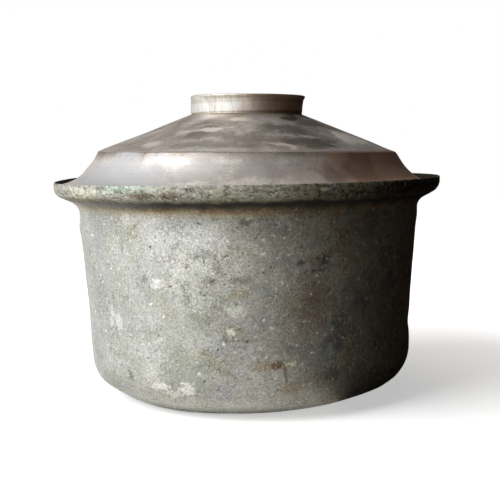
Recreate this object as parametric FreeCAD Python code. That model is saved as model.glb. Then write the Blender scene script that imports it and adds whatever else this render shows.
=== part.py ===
import FreeCAD, Part
import math
import os

# Tinned copper cooking pot with a loose lid. The pot and the lid are each one sheet, raised by hammer, and the
# lid's handle is a strip bent into an open ring. All three are sheet sections turned round one axis.
# Frame: millimetres, +Z up, origin at the centre of the underside of the base.

# Pot: overall size and sheet
POT_HEIGHT = 178.0
RIM_RADIUS = 160.0
POT_SHEET = 1.6

# Pot: the upturned lip and the sloping ledge that carries the lid
LIP_HEIGHT = 9.7
LIP_BEND = 9.2
LEDGE_WIDTH = 18.4
LEDGE_ANGLE = 25.6
NECK_BEND = 11.0

# Pot: the wall narrows from the neck to a waist, then drops almost straight to the heel
WAIST_HEIGHT = 69.5
WALL_TAPER = 7.4
WAIST_BEND = 600.0
HEEL_INSET = 0.8
HEEL_HEIGHT = 17.6
HEEL_BEND = 31.0
HEEL_WIDTH = 36.7
BASE_BEND = 52.0

# Lid: sheet, fit in the pot, and the turned-down edge that it stands on
LID_SHEET = 1.2
LID_PLAY = 3.0
SEAT_CLEARANCE = 0.25
LID_EDGE_DEPTH = 4.4
LID_EDGE_BEND = 1.9

# Lid: flange, hollow shoulder, sharp fold and cone, from the edge inwards
FLANGE_WIDTH = 19.0
FLANGE_ANGLE = 22.0
SHOULDER_BEND = 50.0
SHOULDER_WIDTH = 13.0
SHOULDER_HEIGHT = 21.3
FOLD_BEND = 1.9
CONE_ANGLE = 21.7
CROWN_INSET = 12.0
CROWN_BEND = 40.0

# Ring handle on the lid
RING_RADIUS = 45.7
RING_HEIGHT = 15.2
RING_STRIP = 1.6
RING_FLARE = 1.3
RING_BEAD = 1.2

# Slant that wear has given to both sides of every cut sheet edge
EDGE_WEAR = 0.4

# Shorter than this, a run or a bend is left out of a section
LEAST_LENGTH = 0.001


def point(radius, height):
    """A point of a section, which lies in the plane through the axis and +X."""
    return FreeCAD.Vector(radius, 0, height)


def rise(run, angle):
    """Height gained over a level run on a slope, its angle in degrees."""
    return run * math.tan(math.radians(angle))


def direction(start, end):
    """Unit vector from one point to another."""
    step = end - start
    return step.multiply(1 / step.Length)


def left_of(along):
    """Unit vector to the left of a direction in the section's plane."""
    return point(-along.z, along.x)


def turn_at(before, corner, after):
    """Angle by which a line turns at a corner, in radians, positive to the left."""
    incoming = direction(before, corner)
    outgoing = direction(corner, after)
    crossed = incoming.x * outgoing.z - incoming.z * outgoing.x
    return math.atan2(crossed, incoming.dot(outgoing))


def beside(corners, gap):
    """Corners of the line that runs beside an open line at a distance, to its left where the gap is positive."""
    moved = [corners[0] + left_of(direction(corners[0], corners[1])) * gap]
    for before, corner, after in zip(corners, corners[1:], corners[2:]):
        sideways = left_of(direction(before, corner)) + left_of(direction(corner, after))
        half_turn = turn_at(before, corner, after) / 2
        moved.append(corner + sideways * (gap / (sideways.Length * math.cos(half_turn))))
    moved.append(corners[-1] + left_of(direction(corners[-2], corners[-1])) * gap)
    return moved


def bends_beside(corners, bends, gap):
    """Bend radii of the line beside an open line: tighter inside a turn, wider outside it."""
    moved = [0.0]
    for before, corner, after, bend in zip(corners, corners[1:], corners[2:], bends[1:]):
        side = math.copysign(1, turn_at(before, corner, after))
        moved.append(max(bend - side * gap, 0.0))
    return moved + [0.0]


def reaches_that_fit(corners, bends):
    """How far each bend of a closed line reaches along its two runs, cut back where a run is too short for both."""
    count = len(corners)
    reaches = []
    for index, bend in enumerate(bends):
        turn = turn_at(corners[index - 1], corners[index], corners[(index + 1) % count])
        reaches.append(bend * math.tan(abs(turn) / 2))
    for index in range(count):
        following = (index + 1) % count
        room = (corners[following] - corners[index]).Length
        wanted = reaches[index] + reaches[following]
        if wanted > room:
            reaches[index] *= room / wanted
            reaches[following] *= room / wanted
    return reaches


def bend_edge(before, corner, after, reach):
    """Arc that rounds a corner off, tangent to both of its runs."""
    start = corner + direction(corner, before) * reach
    end = corner + direction(corner, after) * reach
    half_turn = abs(turn_at(before, corner, after)) / 2
    radius = reach / math.tan(half_turn)
    inwards = (start + end) * 0.5 - corner
    depth = radius / math.cos(half_turn) - radius
    return Part.Arc(start, corner + inwards * (depth / inwards.Length), end).toShape()


def section(corners, bends):
    """Face inside a closed line of straight runs and tangent bends."""
    count = len(corners)
    reaches = reaches_that_fit(corners, bends)
    edges = []
    for index, corner in enumerate(corners):
        before = corners[index - 1]
        following = (index + 1) % count
        after = corners[following]
        if reaches[index] > LEAST_LENGTH:
            edges.append(bend_edge(before, corner, after, reaches[index]))
        run_start = corner + direction(corner, after) * reaches[index]
        run_end = after + direction(after, corner) * reaches[following]
        if (run_end - run_start).Length > LEAST_LENGTH:
            edges.append(Part.LineSegment(run_start, run_end).toShape())
    return Part.Face(Part.Wire(edges))


def worn_edge(before, near, far):
    """The four corners of a sheet's cut edge, slanted on both sides, from its near skin to its far one."""
    back = direction(near, before) * EDGE_WEAR
    across = direction(near, far) * EDGE_WEAR
    return [near + back, near + across, far - across, far + back]


def sheet_section(corners, bends, gap):
    """Section of a sheet: one skin as an open line from the axis, the other beside it, and a worn end."""
    far_corners = beside(corners, gap)
    far_bends = bends_beside(corners, bends, gap)
    cut_edge = worn_edge(corners[-2], corners[-1], far_corners[-1])
    outline = corners[:-1] + cut_edge + far_corners[-2::-1]
    return section(outline, bends[:-1] + [0.0] * len(cut_edge) + far_bends[-2::-1])


def turned(face):
    """Solid made by turning a section once round the pot's axis."""
    return face.revolve(point(0, 0), FreeCAD.Vector(0, 0, 1), 360)


def top_at(solid, radius):
    """Height of a solid's upper skin at a radius, found with a plumb line."""
    plumb = Part.makeLine(point(radius, 0), point(radius, 2 * POT_HEIGHT))
    return max(end.Z for end in plumb.common(solid).Vertexes)


def make_pot_body():
    """The pot: base, heel, wall, ledge and lip in one sheet, from its outer skin inwards."""
    neck_radius = RIM_RADIUS - LEDGE_WIDTH
    waist_radius = neck_radius - WALL_TAPER
    heel_radius = waist_radius - HEEL_INSET
    lip_corner_height = POT_HEIGHT - LIP_HEIGHT
    outer_skin = [
        point(0, 0),
        point(heel_radius - HEEL_WIDTH, 0),
        point(heel_radius, HEEL_HEIGHT),
        point(waist_radius, WAIST_HEIGHT),
        point(neck_radius, lip_corner_height - rise(LEDGE_WIDTH, LEDGE_ANGLE)),
        point(RIM_RADIUS, lip_corner_height),
        point(RIM_RADIUS, POT_HEIGHT),
    ]
    bends = [0.0, BASE_BEND, HEEL_BEND, WAIST_BEND, NECK_BEND, LIP_BEND, 0.0]
    return turned(sheet_section(outer_skin, bends, POT_SHEET))


def lid_skin(lid_radius, foot_height):
    """Corners of the lid's upper skin, from the axis out to the foot of its turned-down edge."""
    flange_height = foot_height + LID_EDGE_DEPTH
    hollow_radius = lid_radius - FLANGE_WIDTH
    hollow_height = flange_height + rise(FLANGE_WIDTH, FLANGE_ANGLE)
    fold_radius = hollow_radius - SHOULDER_WIDTH
    fold_height = hollow_height + SHOULDER_HEIGHT
    crown_radius = RING_RADIUS - CROWN_INSET
    crown_height = fold_height + rise(fold_radius - crown_radius, CONE_ANGLE)
    return [
        point(0, crown_height),
        point(crown_radius, crown_height),
        point(fold_radius, fold_height),
        point(hollow_radius, hollow_height),
        point(lid_radius, flange_height),
        point(lid_radius, foot_height),
    ]


def make_lid(skin):
    """The lid: crown, cone, fold, shoulder, flange and edge in one sheet, from its upper skin down."""
    bends = [0.0, CROWN_BEND, FOLD_BEND, SHOULDER_BEND, LID_EDGE_BEND, 0.0]
    return turned(sheet_section(skin, bends, -LID_SHEET))


def make_lid_ring(skin):
    """The ring handle: a flared strip with a half-round bead outside its top edge, its foot cut to the cone."""
    crown = skin[1]
    foot_height = crown.z - rise(RING_RADIUS - crown.x, CONE_ANGLE)
    top = foot_height + RING_HEIGHT
    top_radius = RING_RADIUS + RING_FLARE
    bead_foot = top - 2 * RING_BEAD
    corners = [
        point(RING_RADIUS - RING_STRIP, foot_height + rise(RING_STRIP, CONE_ANGLE)),
        point(RING_RADIUS, foot_height),
        point(top_radius, bead_foot),
        point(top_radius + RING_BEAD, bead_foot),
        point(top_radius + RING_BEAD, top),
        point(top_radius - RING_STRIP + EDGE_WEAR, top),
        point(top_radius - RING_STRIP, top - EDGE_WEAR),
    ]
    bends = [0.0, 0.0, 0.0, RING_BEAD, RING_BEAD, 0.0, 0.0]
    return turned(section(corners, bends))


def main():
    """Make the three pieces, print what they measure and write one file for each."""
    pot_body = make_pot_body()
    lid_radius = RIM_RADIUS - POT_SHEET - LID_PLAY
    seat_height = top_at(pot_body, lid_radius - EDGE_WEAR)
    skin = lid_skin(lid_radius, seat_height + SEAT_CLEARANCE)
    pieces = {
        "pot_body": pot_body,
        "lid": make_lid(skin),
        "lid_ring": make_lid_ring(skin),
    }
    os.makedirs("parts", exist_ok=True)
    for name, piece in pieces.items():
        piece.exportStep(f"parts/{name}.step")
        box = piece.optimalBoundingBox(True, False)
        print(f"{name}: {piece.Volume / 1000:.1f} cm3, valid {piece.isValid()}, "
              f"radius {box.XMax:.1f} mm, from {box.ZMin:.1f} to {box.ZMax:.1f} mm")


main()
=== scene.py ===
# %% [markdown]
# # An old copper cooking pot with a loose lid
#
# The pot on the table is a copper sheet that was raised by hammer and tinned inside and out. The tin has
# gone dull, so hardly any copper shows. Its lid is a second, thinner sheet, wiped bright by use, and a bent
# strip on top is the handle. This lesson dresses the three measured solids of the pot. It loads them as a
# fixed frame, lays a hammered and dented skin over each, and paints the skins with procedural finishes.

# %% Load the frame
import math

import bpy
import numpy as np
from mathutils import Matrix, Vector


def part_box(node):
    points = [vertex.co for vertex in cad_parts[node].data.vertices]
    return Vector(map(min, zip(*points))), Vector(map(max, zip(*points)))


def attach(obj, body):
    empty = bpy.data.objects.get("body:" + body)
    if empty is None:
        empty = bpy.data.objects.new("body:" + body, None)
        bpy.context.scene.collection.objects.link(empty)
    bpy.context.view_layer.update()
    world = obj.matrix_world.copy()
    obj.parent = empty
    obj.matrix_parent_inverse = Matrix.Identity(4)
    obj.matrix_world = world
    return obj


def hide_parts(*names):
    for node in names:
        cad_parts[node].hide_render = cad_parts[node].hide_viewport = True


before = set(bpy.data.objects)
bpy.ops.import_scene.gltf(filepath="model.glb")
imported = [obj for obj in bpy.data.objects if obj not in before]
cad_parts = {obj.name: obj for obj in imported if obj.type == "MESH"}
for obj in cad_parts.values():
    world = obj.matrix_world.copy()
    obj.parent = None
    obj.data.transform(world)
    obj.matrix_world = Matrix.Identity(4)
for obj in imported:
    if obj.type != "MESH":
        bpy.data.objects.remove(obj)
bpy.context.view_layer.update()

print("nodes in the frame:", sorted(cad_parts))

# %% [markdown]
# ## Sizes
#
# A coppersmith thinks in a few sizes: how wide the mouth is, how high the pot stands, how thick the sheet
# is. The overall ones are read from the frame, so that the skins fit whatever was measured there. The rest
# are the runs and bends between them. All of them are millimetres, and only finished meshes are in metres.

# %% Read the overall sizes and name the others
METRE = 1000.0


def reach_of(node):
    """Radius, lowest height and highest height of a node of the frame, in millimetres."""
    low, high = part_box(node)
    return high.x * METRE, low.z * METRE, high.z * METRE


RIM_RADIUS, _, POT_HEIGHT = reach_of("pot_body")
LID_RADIUS, LID_FOOT, LID_TOP = reach_of("lid")
BEAD_RADIUS, RING_FOOT, RING_TOP = reach_of("lid_ring")

POT_SHEET = 1.6
LIP_HEIGHT, LIP_BEND = 9.7, 9.2
LEDGE_WIDTH, LEDGE_ANGLE, NECK_BEND = 18.4, 25.6, 11.0
WAIST_HEIGHT, WALL_TAPER, WAIST_BEND = 69.5, 7.4, 600.0
HEEL_INSET, HEEL_HEIGHT, HEEL_BEND = 0.8, 17.6, 31.0
HEEL_WIDTH, BASE_BEND = 36.7, 52.0

LID_SHEET = 1.2
LID_EDGE_DEPTH, LID_EDGE_BEND = 4.4, 1.9
FLANGE_WIDTH, FLANGE_ANGLE = 19.0, 22.0
SHOULDER_WIDTH, SHOULDER_HEIGHT, SHOULDER_BEND = 13.0, 21.3, 50.0
FOLD_BEND, CONE_ANGLE = 1.9, 21.7
CROWN_INSET, CROWN_BEND = 12.0, 40.0

RING_STRIP, RING_FLARE, RING_BEAD = 1.6, 1.3, 1.2

print(f"pot {2 * RIM_RADIUS:.1f} mm wide and {POT_HEIGHT:.1f} mm high, lid up to {LID_TOP:.1f} mm, "
      f"ring up to {RING_TOP:.1f} mm")

# %% [markdown]
# ## A bent line
#
# Sheet metal is flat until it is bent, so its section is made of straight runs and round bends. One point
# of the section is one complex number, its radius plus i times its height. Then a turn is a product, and an
# arc needs no sines. A curve object could draw it too, but its points would be spread unevenly.

# %% Make points along straight runs and bends
FINEST_TURN = math.radians(7)


def rise(run, angle):
    """Height gained over a level run on a slope: the run times the tangent of the slope's angle."""
    return run * math.tan(math.radians(angle))


def straight(start, end, spacing):
    """Even points on a straight run, without its start: start plus n / count of the way to the end."""
    count = math.ceil(abs(end - start) / spacing)
    return start + (end - start) * np.arange(1, count + 1) / max(count, 1)


def bent_line(corners, bends, spacings):
    """Points along a line whose inner corners are rounded by arcs that touch both runs.

    An arc of radius b round a turn of angle a starts b * tan(a / 2) before its corner. Its points are its
    centre plus the radius to its start, turned by equal steps up to a."""
    points = [np.array(corners[:1], complex)]
    for before, corner, after, bend, spacing in zip(corners, corners[1:], corners[2:], bends, spacings):
        along = (corner - before) / abs(corner - before)
        turn = np.angle((after - corner) / along)
        start = corner - along * bend * math.tan(abs(turn) / 2)
        centre = start + 1j * along * math.copysign(bend, turn)
        count = math.ceil(max(bend * abs(turn) / spacing, abs(turn) / FINEST_TURN))
        points.append(straight(points[-1][-1], start, spacing))
        points.append(centre + (start - centre) * np.exp(1j * turn * np.arange(1, count + 1) / count))
    points.append(straight(points[-1][-1], corners[-1], spacings[-1]))
    return np.concatenate(points)


def right_of(line):
    """Unit normals to the right of a line: its slope between neighbours, turned back by a quarter turn."""
    along = np.gradient(line)
    return -1j * along / abs(along)


print("a quarter circle:", np.round(bent_line([0, 10, 10 + 10j], [10.0], [5.0, 5.0]), 1))

# %% [markdown]
# ## A sheet with two skins
#
# Both sides of a sheet are needed, because the mouth of the pot and the ring are seen from above. A Solidify
# modifier could add the second side, but here it is laid one thickness beside the first, so that the cut
# edge can be rounded as wear has done: a half circle joins the two sides. The hidden side gets fewer rings,
# and a point moves with its neighbour on the outer side when the sheet is dented.

# %% Turn a line into the closed section of a sheet
INNER_STEP = 3
EDGE_STEPS = 6


class Sheet:
    """A sheet's section, with the direction that dents move each of its points in.

    places are the points of the whole section and pushes their unit directions, out of the pot. picks says
    which point of the outer line each of them follows. side is 1 where the outside lies to the right of the
    line, as on the pot, whose line climbs, and -1 on the lid, whose line comes down."""

    def __init__(self, line, thickness, side):
        push = side * right_of(line)
        middle = line[-1] - push[-1] * thickness / 2
        half_turn = np.exp(1j * np.pi * side * np.arange(1, EDGE_STEPS) / EDGE_STEPS)
        edge = middle + (line[-1] - middle) * half_turn
        inner = np.arange(len(line))[::-INNER_STEP]
        inner[-1] = 0
        self.line = line
        self.places = np.concatenate([line, edge, (line - push * thickness)[inner]])
        self.picks = np.concatenate([np.arange(len(line)), np.full(len(edge), len(line) - 1), inner])
        self.pushes = push[self.picks]


print("one point in", INNER_STEP, "is kept on the hidden side, and a cut edge has", EDGE_STEPS, "steps")

# %% [markdown]
# ## Round the axis
#
# A raised pot is a surface of revolution before the dents: one row of points per point of the section, one
# column per angle round the axis. A Screw modifier would space the columns evenly. Here they stand closer
# at the front, where the picture is taken from, and without a jump anywhere, because the angle is a smooth
# function of the column's number.

# %% Carry a section round the axis
FRONT_SHARE = 0.35


def columns(count):
    """Angles from the front, in radians: u - k sin(u) for even u, so the steps are 1 - k wide in front."""
    even = np.arange(count) * 2 * np.pi / count - np.pi
    return even - FRONT_SHARE * np.sin(even)


def around(places, angles):
    """Grid of points with x = radius * sin(angle), y = -radius * cos(angle) and z = height."""
    radius, height = places.real, places.imag
    return np.stack([radius * np.sin(angles), -radius * np.cos(angles), height + 0 * angles], axis=-1)


print("columns near the front, in degrees:", np.degrees(columns(360))[178:183].round(2))

# %% [markdown]
# ## A closed mesh
#
# The grid becomes quads between neighbours. The pot and the lid meet their axis, where a whole row would
# fall on one point, so that row is one vertex with a fan of triangles. The ring never meets the axis, and
# its last row joins its first. Either way the mesh is closed and its faces look outwards.

# %% Make a mesh from a grid
def closed_mesh(name, grid, has_poles):
    """Mesh of quads between neighbouring rows and columns. With poles, the first and the last row are one
    point each, joined to their neighbours by triangles. Without, the last row joins the first."""
    rows, count = grid.shape[:2]
    if has_poles:
        points = np.concatenate([grid[0, :1], grid[1:-1].reshape(-1, 3), grid[-1, :1]])
        number = 1 + np.arange((rows - 2) * count).reshape(rows - 2, count)
        lower, upper = number[:-1], number[1:]
    else:
        points = grid.reshape(-1, 3)
        number = np.arange(rows * count).reshape(rows, count)
        lower, upper = number, np.roll(number, -1, axis=0)
    quads = np.stack([lower, np.roll(lower, -1, 1), np.roll(upper, -1, 1), upper], axis=-1).reshape(-1, 4)
    corners, sizes = quads.reshape(-1), np.full(len(quads), 4)
    if has_poles:
        first, last = number[0], number[-1]
        south = np.stack([np.zeros_like(first), np.roll(first, -1), first], axis=-1)
        north = np.stack([last, np.roll(last, -1), np.full_like(last, len(points) - 1)], axis=-1)
        corners = np.concatenate([corners, south.reshape(-1), north.reshape(-1)])
        sizes = np.concatenate([sizes, np.full(2 * count, 3)])
    starts = np.concatenate([[0], np.cumsum(sizes)[:-1]])
    mesh = bpy.data.meshes.new(name)
    mesh.vertices.add(len(points))
    mesh.vertices.foreach_set("co", (points / METRE).reshape(-1).astype(np.float32))
    mesh.loops.add(len(corners))
    mesh.loops.foreach_set("vertex_index", corners.astype(np.int32))
    mesh.polygons.add(len(sizes))
    mesh.polygons.foreach_set("loop_start", starts.astype(np.int32))
    mesh.update(calc_edges=True)
    mesh.shade_smooth()
    piece = bpy.data.objects.new(name, mesh)
    bpy.context.scene.collection.objects.link(piece)
    print(f"{name}: {len(points)} points, {int((sizes - 2).sum())} triangles, valid {not mesh.validate()}")
    return piece


# %% [markdown]
# ## Hammer marks
#
# A raised vessel is finished by planishing: light blows with a flat hammer, side by side, each leaving a
# facet about a thumb wide. Years of use add slow waves. A Displace modifier with a texture could give both,
# but only with textures of its own. Here they come from random numbers at the corners of a cubic lattice.
# Blending them gives waves, and the distance to the nearest scattered point gives facets with low ridges
# between them. The lattice fills space, so there is no seam round the pot.

# %% Make waves and facets from a lattice of random numbers
LATTICE_SIZE = 32
LATTICE = np.random.default_rng(7).random((LATTICE_SIZE,) * 3 + (3,))


def at_lattice(cell, shift=0):
    """The three random numbers kept for each cell, repeated at every lattice size."""
    wrapped = (cell + shift) % LATTICE_SIZE
    return LATTICE[wrapped[..., 0], wrapped[..., 1], wrapped[..., 2]]


def waves(points, size, seed):
    """Smooth noise between -1 and 1: the random numbers at the eight corners of a cell, blended with the
    weights 3t^2 - 2t^3 and one minus that along each axis."""
    cell = np.floor(points / size).astype(int)
    part = points / size - cell
    ease = part * part * (3 - 2 * part)
    total = np.zeros(points.shape[:-1])
    for corner in np.ndindex(2, 2, 2):
        weight = np.prod(np.where(corner, ease, 1 - ease), axis=-1)
        total += weight * at_lattice(cell + np.array(corner), seed)[..., 0]
    return 2 * total - 1


def facets(points, size, seed):
    """Height of planishing facets between 0 and 1: the squared distance to the nearest of the points that
    are scattered one to a cell, over the squared size."""
    cell = np.floor(points / size).astype(int)
    nearest = np.full(points.shape[:-1], 9.0)
    for step in np.ndindex(3, 3, 3):
        near_cell = cell + np.array(step) - 1
        scattered = near_cell + at_lattice(near_cell, seed)
        nearest = np.minimum(nearest, ((points / size - scattered) ** 2).sum(axis=-1))
    return np.clip(nearest, 0, 1)


sample = np.random.default_rng(1).random((1000, 3)) * 200
print(f"waves from {waves(sample, 40, 0).min():.2f} to {waves(sample, 40, 0).max():.2f}, "
      f"facets from {facets(sample, 14, 0).min():.2f} to {facets(sample, 14, 0).max():.2f}")

# %% [markdown]
# ## Dents
#
# Knocks and years of lifting leave dents where they happened, so they are placed one by one: a side, a
# height, a width and a depth. Each is a bell-shaped swelling, which has no edge that would show. Sculpting
# would do the same by hand, but a list can be read and changed.

# %% Press dents into a sheet
def bump_at(points, azimuth, height, half_width, half_height):
    """A round swelling of height 1: exp(-u^2 - v^2), with u the way round and v the way up from its middle,
    in half sizes. azimuth is in degrees from the front, to the right."""
    radius = np.hypot(points[..., 0], points[..., 1])
    angle = np.arctan2(points[..., 0], -points[..., 1]) - math.radians(azimuth)
    angle = (angle + np.pi) % (2 * np.pi) - np.pi
    return np.exp(-(angle * radius / half_width) ** 2 - ((points[..., 2] - height) / half_height) ** 2)


def pressed(points, dents):
    """Sum of the round swellings of a list of dents, each one times its depth."""
    return sum(depth * bump_at(points, *place_and_size) for *place_and_size, depth in dents)


def dented(sheet, dents, count):
    """Grid of the sheet's section carried round the axis, each place moved along its push by its dent."""
    angles = columns(count)
    moved = dents(around(sheet.line[:, None], angles))[sheet.picks]
    return around(sheet.places[:, None] + sheet.pushes[:, None] * moved, angles)


print("a dent is", round(math.exp(-1), 2), "of its depth at its half width")

# %% [markdown]
# ## The pot's line
#
# The pot's line starts under the middle of the base, rounds the heel, climbs the wall, leans out along the
# ledge that carries the lid and ends at the upturned lip.

# %% Draw the pot's line
neck_radius = RIM_RADIUS - LEDGE_WIDTH
waist_radius = neck_radius - WALL_TAPER
heel_radius = waist_radius - HEEL_INSET
lip_corner_height = POT_HEIGHT - LIP_HEIGHT
lip_edge_height = POT_HEIGHT - POT_SHEET / 2

pot_line = bent_line(
    corners=[
        0,
        heel_radius - HEEL_WIDTH,
        heel_radius + 1j * HEEL_HEIGHT,
        waist_radius + 1j * WAIST_HEIGHT,
        neck_radius + 1j * (lip_corner_height - rise(LEDGE_WIDTH, LEDGE_ANGLE)),
        RIM_RADIUS + 1j * lip_corner_height,
        RIM_RADIUS + 1j * lip_edge_height,
    ],
    bends=[BASE_BEND, HEEL_BEND, WAIST_BEND, NECK_BEND, LIP_BEND],
    spacings=[7.0, 1.7, 1.5, 1.5, 1.2, 1.0],
)
print(len(pot_line), "points from the base to the lip")

# %% [markdown]
# ## The pot's skin
#
# The real pot is not quite round. Its wall waves by a third of a millimetre and leans half a millimetre to
# the right, there is a swelling under the ledge on the left and a dent low on the right, and the heel is
# worn rounder on the right than on the left. The dents have the side and height that they have on the real
# pot. Its lip rises on the left, behind the lid. The base stays flat, because the pot stands on it.

# %% Build the pot's skin
POT_COLUMNS = 420
WAVE_DEPTH, FACET_DEPTH, HEEL_FACET_DEPTH, LIP_FACET_DEPTH = 0.35, 0.22, 0.35, 0.25
HEEL_MIDDLE = 14
LIP_START, LIP_EASE = 158, 10
BASE_EASE = 1.5
WALL_SHIFT = 0.6
LIP_RISE = (-122, POT_HEIGHT, 70, 12, 2.3)

# azimuth (degrees), height, half width, half height and depth (mm, out of the pot is positive)
POT_DENTS = [
    (-88, 152, 40, 6, -1.0), (-86, 140, 40, 6, 0.8), (82, 146, 16, 6, 0.5), (84, 60, 18, 8, -1.5),
    (88, 7, 40, 6, -3.8), (86, 165, 20, 4, 2.5), (45, 4, 60, 5, -0.9), (-86, 12, 40, 11, 1.9),
    (-88, 36, 40, 7, -0.9), (-50, 4, 60, 4, 2.0), (0, 4, 50, 4, 0.4),
]


def pot_dents(points):
    """How far the pot's sheet stands out from its line, in millimetres: waves, facets, dents and a shift to
    the right, which give way to small facets on the lip and fade out towards the flat base."""
    height = points[..., 2]
    out = WAVE_DEPTH * waves(points, 46.0, seed=3) + FACET_DEPTH * (facets(points, 15.0, seed=5) - 0.5)
    heel = np.exp(-((height - HEEL_MIDDLE) / HEEL_MIDDLE) ** 2)
    out += HEEL_FACET_DEPTH * heel * (facets(points, 17.0, seed=11) - 0.6) + pressed(points, POT_DENTS)
    out += WALL_SHIFT * points[..., 0] / RIM_RADIUS
    lip = np.clip((height - LIP_START) / LIP_EASE, 0, 1)
    off_base = np.clip(height / BASE_EASE, 0, 1)
    return (out * (1 - lip) - lip * LIP_FACET_DEPTH * facets(points, 12.0, seed=8)) * off_base


pot_grid = dented(Sheet(pot_line, POT_SHEET, side=1), pot_dents, POT_COLUMNS)
pot_grid[..., 2] += pressed(pot_grid, [LIP_RISE])
pot_shell = closed_mesh("pot_shell", pot_grid, has_poles=True)
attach(pot_shell, "root")
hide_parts("pot_body")

# %% [markdown]
# ## The lid's line
#
# The lid's line starts on the axis under the ring and comes down the cone to a sharp fold, then down a
# hollow shoulder to the flange, whose edge turns down onto the pot's ledge.

# %% Draw the lid's line
hollow_radius = LID_RADIUS - FLANGE_WIDTH
fold_radius = hollow_radius - SHOULDER_WIDTH
ring_radius = BEAD_RADIUS - RING_BEAD - RING_FLARE
crown_radius = ring_radius - CROWN_INSET
flange_height = LID_FOOT + LID_EDGE_DEPTH
hollow_height = flange_height + rise(FLANGE_WIDTH, FLANGE_ANGLE)
fold_height = hollow_height + SHOULDER_HEIGHT
crown_height = fold_height + rise(fold_radius - crown_radius, CONE_ANGLE)

lid_line = bent_line(
    corners=[
        1j * crown_height,
        crown_radius + 1j * crown_height,
        fold_radius + 1j * fold_height,
        hollow_radius + 1j * hollow_height,
        LID_RADIUS + 1j * flange_height,
        LID_RADIUS + 1j * (LID_FOOT + LID_SHEET / 2),
    ],
    bends=[CROWN_BEND, FOLD_BEND, SHOULDER_BEND, LID_EDGE_BEND],
    spacings=[4.0, 1.7, 1.2, 1.2, 0.9],
)
print(len(lid_line), "points from the crown to the edge")

# %% [markdown]
# ## A lid that lies askew
#
# The lid lies loose and a little askew: its left side rides higher than its right one. So the finished grid
# is tipped by about a degree. Turning the object would be simpler, but a pattern on Object coordinates has
# to find the mesh in its place. Then the foot of the edge is kept above the ledge that it stands on.

# %% Tip a grid and keep it on its seat
LID_TILT, LID_DROP, LID_SHIFT, LID_PIVOT = 1.05, 1.3, 0.8, 195.0
FOOT_GAP, FLANGE_FLAT, FLANGE_RIM = 0.15, 28.0, 2.0


def tipped(grid):
    """The grid turned about the level line through the pivot that points at the viewer, then let down.

    x' = shift + x cos a + (z - p) sin a and z' = p - drop - x sin a + (z - p) cos a."""
    angle = math.radians(LID_TILT)
    x, z = grid[..., 0], grid[..., 2] - LID_PIVOT
    moved = grid.copy()
    moved[..., 0] = x * math.cos(angle) + z * math.sin(angle) + LID_SHIFT
    moved[..., 2] = z * math.cos(angle) - x * math.sin(angle) + LID_PIVOT - LID_DROP
    return moved


def above_seat(grid):
    """The grid with its flange bent up where its foot would sink into the pot's ledge.

    Each column rises by what its foot lacks, times the square of how far out on the flange a point is."""
    inner = (pot_line - right_of(pot_line) * POT_SHEET)[pot_line.imag > WAIST_HEIGHT]
    ledge = inner[np.argsort(inner.real)]
    radius = np.hypot(grid[..., 0], grid[..., 1])
    seat = np.interp(radius, ledge.real, ledge.imag, left=0)
    lack = np.max(seat + FOOT_GAP - grid[..., 2], axis=0).clip(0)
    outwards = np.clip((radius - LID_RADIUS + FLANGE_FLAT) / (FLANGE_FLAT - FLANGE_RIM), 0, 1)
    kept = grid.copy()
    kept[..., 2] += lack * outwards ** 2
    return kept


print(f"a tilt of {LID_TILT} degrees lifts the lid's left edge by {rise(LID_RADIUS, LID_TILT):.1f} mm")

# %% [markdown]
# ## The lid's skin
#
# The lid's sheet is thinner and its hammer marks are finer. Its cone and shoulder swell a little on the left,
# and its flange is bent up there. The dents fade out at the edge, so that it stays a clean line.

# %% Build the lid's skin
LID_COLUMNS = 460
LID_WAVE_DEPTH, LID_FACET_DEPTH = 0.3, 0.1
LID_EDGE_EASE = 8
FLANGE_LIFT = (-90, LID_FOOT, 60, 8, 2.6)
LID_DENTS = [
    (88, 204, 24, 4, -0.6), (-90, 203, 50, 5, 0.8), (-90, 188, 40, 5, 0.9), (-88, 211, 40, 5, 0.5),
    (88, 227, 60, 5, 0.1), (-88, 224, 50, 9, 0.5),
]


def lid_dents(points):
    """How far the lid's sheet stands out from its line, in millimetres: waves, facets and dents."""
    out = LID_WAVE_DEPTH * waves(points, 38.0, seed=13)
    out += LID_FACET_DEPTH * (facets(points, 13.0, seed=17) - 0.5)
    off_edge = np.clip((LID_RADIUS - np.hypot(points[..., 0], points[..., 1])) / LID_EDGE_EASE, 0, 1)
    return (out + pressed(points, LID_DENTS)) * off_edge


lid_grid = dented(Sheet(lid_line, LID_SHEET, side=-1), lid_dents, LID_COLUMNS)
lid_grid[..., 2] += pressed(lid_grid, [FLANGE_LIFT])
lid_shell = closed_mesh("lid_shell", above_seat(tipped(lid_grid))[::-1], has_poles=True)
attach(lid_shell, "root")
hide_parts("lid")

# %% [markdown]
# ## The ring handle
#
# The handle is a strip bent into a ring, flared a little, with its top edge rolled outwards into a bead. Its
# foot is filed to the slope of the cone and brazed on. A bevelled curve could make it, but the section is
# closed and off the axis, so the same grid works with its last row joined to its first. It is bent more than
# the rest, because everyone lifts the lid by it, and it is tipped with the lid.

# %% Build the ring's skin
RING_COLUMNS = 360
RING_DROP = 0.05
RING_EDGE, STRIP_BEND, BEAD_BEND = 0.7, 4.0, 1.0
RING_WAVE_DEPTH, RING_FACET_DEPTH = 0.18, 0.12
RING_CALM_FOOT, RING_EASE = 2, 4
RING_DENTS = [(-88, 235, 25, 5, 1.0), (-88, 248, 25, 3, -1.3), (86, 247, 25, 4, 0.3)]

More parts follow.
